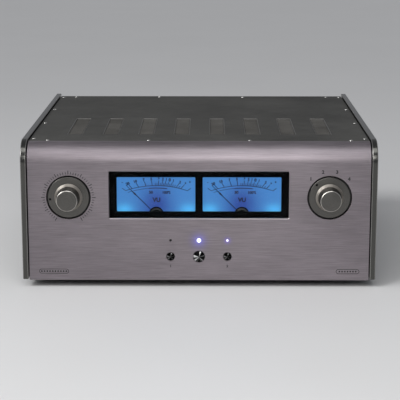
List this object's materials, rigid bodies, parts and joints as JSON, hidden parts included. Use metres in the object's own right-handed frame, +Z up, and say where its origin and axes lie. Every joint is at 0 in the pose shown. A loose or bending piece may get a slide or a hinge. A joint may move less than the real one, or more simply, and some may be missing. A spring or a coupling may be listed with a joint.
{
  "type": "stereo amplifier",
  "caption": "Full-size stereo amplifier with a bent-over brushed front panel, thick side cheeks, two lit level meters, turned knobs and a flat vented cover.",
  "frame": {"origin": "on the surface that the feet stand on, under the middle of the overall width and depth", "axes": "+X to the right as seen from the front, +Y from the front panel to the rear, +Z up"},
  "size_m": [0.44, 0.474, 0.1845],
  "materials": {
    "brushed_panel": "fine horizontal brushing, clear anodised",
    "cover_grey": "fine matte powder coat",
    "mesh_steel": "plain steel mesh",
    "black_sheet": "fine black texture paint",
    "satin_metal": "fine satin, edges turned bright",
    "plain_aluminium": "mill finish",
    "foot_rubber": "matte moulded",
    "zinc_steel": "zinc plate",
    "button_chrome": "dark chrome, spun and dished",
    "lamp_blue": "clear, lit from behind",
    "lamp_dark": "clear, unlit",
    "board_green": "coated glass-epoxy board",
    "meter_glass": "clear pane",
    "mask_black": "gloss black",
    "black_plastic": "moulded",
    "dial_blue": "printed and backlit",
    "needle_navy": "matte paint",
    "transformer_wrap": "steel core and copper winding in polyester tape",
    "capacitor_sleeve": "shrunk plastic sleeve",
    "gold_plate": "gold plate",
    "cap_black": "moulded, knurled",
    "cap_red": "moulded, knurled"
  },
  "bodies": {
    "chassis": {"front_panel": "brushed_panel", "top_cover": "cover_grey", "vent_mesh": "mesh_steel", "rear_panel": "black_sheet", "bottom_plate": "black_sheet", "left_cheek": "satin_metal", "right_cheek": "satin_metal", "left_top_rail": "plain_aluminium", "right_top_rail": "plain_aluminium", "foot_front_left": "foot_rubber", "foot_front_right": "foot_rubber", "foot_rear_left": "foot_rubber", "foot_rear_right": "foot_rubber", "volume_potentiometer": "zinc_steel", "selector_switch": "zinc_steel", "power_led": "lamp_blue", "left_led": "lamp_dark", "right_led": "lamp_blue", "control_board": "board_green", "meter_window": "meter_glass", "meter_mask": "mask_black", "left_meter_body": "black_plastic", "right_meter_body": "black_plastic", "left_meter_dial": "dial_blue", "right_meter_dial": "dial_blue", "toroidal_transformer": "transformer_wrap", "transformer_clamp": "zinc_steel", "power_supply_board": "board_green", "reservoir_capacitor_1": "capacitor_sleeve", "reservoir_capacitor_2": "capacitor_sleeve", "reservoir_capacitor_3": "capacitor_sleeve", "reservoir_capacitor_4": "capacitor_sleeve", "left_heatsink": "plain_aluminium", "right_heatsink": "plain_aluminium", "left_amplifier_board": "board_green", "right_amplifier_board": "board_green", "left_output_module": "black_plastic", "right_output_module": "black_plastic", "input_board": "board_green", "input_sockets": "black_plastic", "mains_inlet": "black_plastic", "left_negative_terminal": "gold_plate", "left_positive_terminal": "gold_plate", "right_negative_terminal": "gold_plate", "right_positive_terminal": "gold_plate"},
    "volume_control": {"volume_knob": "satin_metal", "volume_shaft": "zinc_steel"},
    "selector_control": {"selector_knob": "satin_metal", "selector_shaft": "zinc_steel"},
    "power_key": {"power_button": "button_chrome"},
    "left_key": {"left_button": "button_chrome"},
    "right_key": {"right_button": "button_chrome"},
    "left_needle": {"left_meter_needle": "needle_navy"},
    "right_needle": {"right_meter_needle": "needle_navy"},
    "rocker": {"mains_rocker": "black_plastic"},
    "drawer": {"fuse_drawer": "black_plastic"},
    "left_negative_cap": {"left_negative_terminal_cap": "cap_black"},
    "left_positive_cap": {"left_positive_terminal_cap": "cap_red"},
    "right_negative_cap": {"right_negative_terminal_cap": "cap_black"},
    "right_positive_cap": {"right_positive_terminal_cap": "cap_red"}
  },
  "joints": [
    {"name": "volume_turn", "type": "hinge", "parent": "chassis", "child": "volume_control", "pos_m": [-0.1615, -0.215, 0.1145], "axis": [0, 1, 0], "range_deg": [-54, 246]},
    {"name": "selector_turn", "type": "hinge", "parent": "chassis", "child": "selector_control", "pos_m": [0.1615, -0.215, 0.1145], "axis": [0, 1, 0], "range_deg": [0, 90]},
    {"name": "power_press", "type": "slide", "parent": "chassis", "child": "power_key", "axis": [0, 1, 0], "range_m": [0, 0.002], "stiffness_N_per_m": 600, "springref_m": -0.001},
    {"name": "left_press", "type": "slide", "parent": "chassis", "child": "left_key", "axis": [0, 1, 0], "range_m": [0, 0.002], "stiffness_N_per_m": 600, "springref_m": -0.001},
    {"name": "right_press", "type": "slide", "parent": "chassis", "child": "right_key", "axis": [0, 1, 0], "range_m": [0, 0.002], "stiffness_N_per_m": 600, "springref_m": -0.001},
    {"name": "left_needle_swing", "type": "hinge", "parent": "chassis", "child": "left_needle", "pos_m": [-0.05325, -0.1945, 0.0895], "axis": [0, 1, 0], "range_deg": [0, 90], "stiffness_Nm_per_rad": 0.001, "springref_deg": -11.46},
    {"name": "right_needle_swing", "type": "hinge", "parent": "chassis", "child": "right_needle", "pos_m": [0.05325, -0.1945, 0.0895], "axis": [0, 1, 0], "range_deg": [0, 90], "stiffness_Nm_per_rad": 0.001, "springref_deg": -11.46},
    {"name": "rocker_tilt", "type": "hinge", "parent": "chassis", "child": "rocker", "pos_m": [-0.165, 0.2065, 0.081], "axis": [1, 0, 0], "range_deg": [-16, 0]},
    {"name": "drawer_slide", "type": "slide", "parent": "chassis", "child": "drawer", "axis": [0, 1, 0], "range_m": [0, 0.018]},
    {"name": "left_negative_cap_turn", "type": "hinge", "parent": "chassis", "child": "left_negative_cap", "pos_m": [-0.041, 0.226, 0.062], "axis": [0, 1, 0], "range_deg": [0, 1080]},
    {"name": "left_positive_cap_turn", "type": "hinge", "parent": "chassis", "child": "left_positive_cap", "pos_m": [-0.06, 0.226, 0.062], "axis": [0, 1, 0], "range_deg": [0, 1080]},
    {"name": "right_negative_cap_turn", "type": "hinge", "parent": "chassis", "child": "right_negative_cap", "pos_m": [0.06, 0.226, 0.062], "axis": [0, 1, 0], "range_deg": [0, 1080]},
    {"name": "right_positive_cap_turn", "type": "hinge", "parent": "chassis", "child": "right_positive_cap", "pos_m": [0.041, 0.226, 0.062], "axis": [0, 1, 0], "range_deg": [0, 1080]}
  ]
}
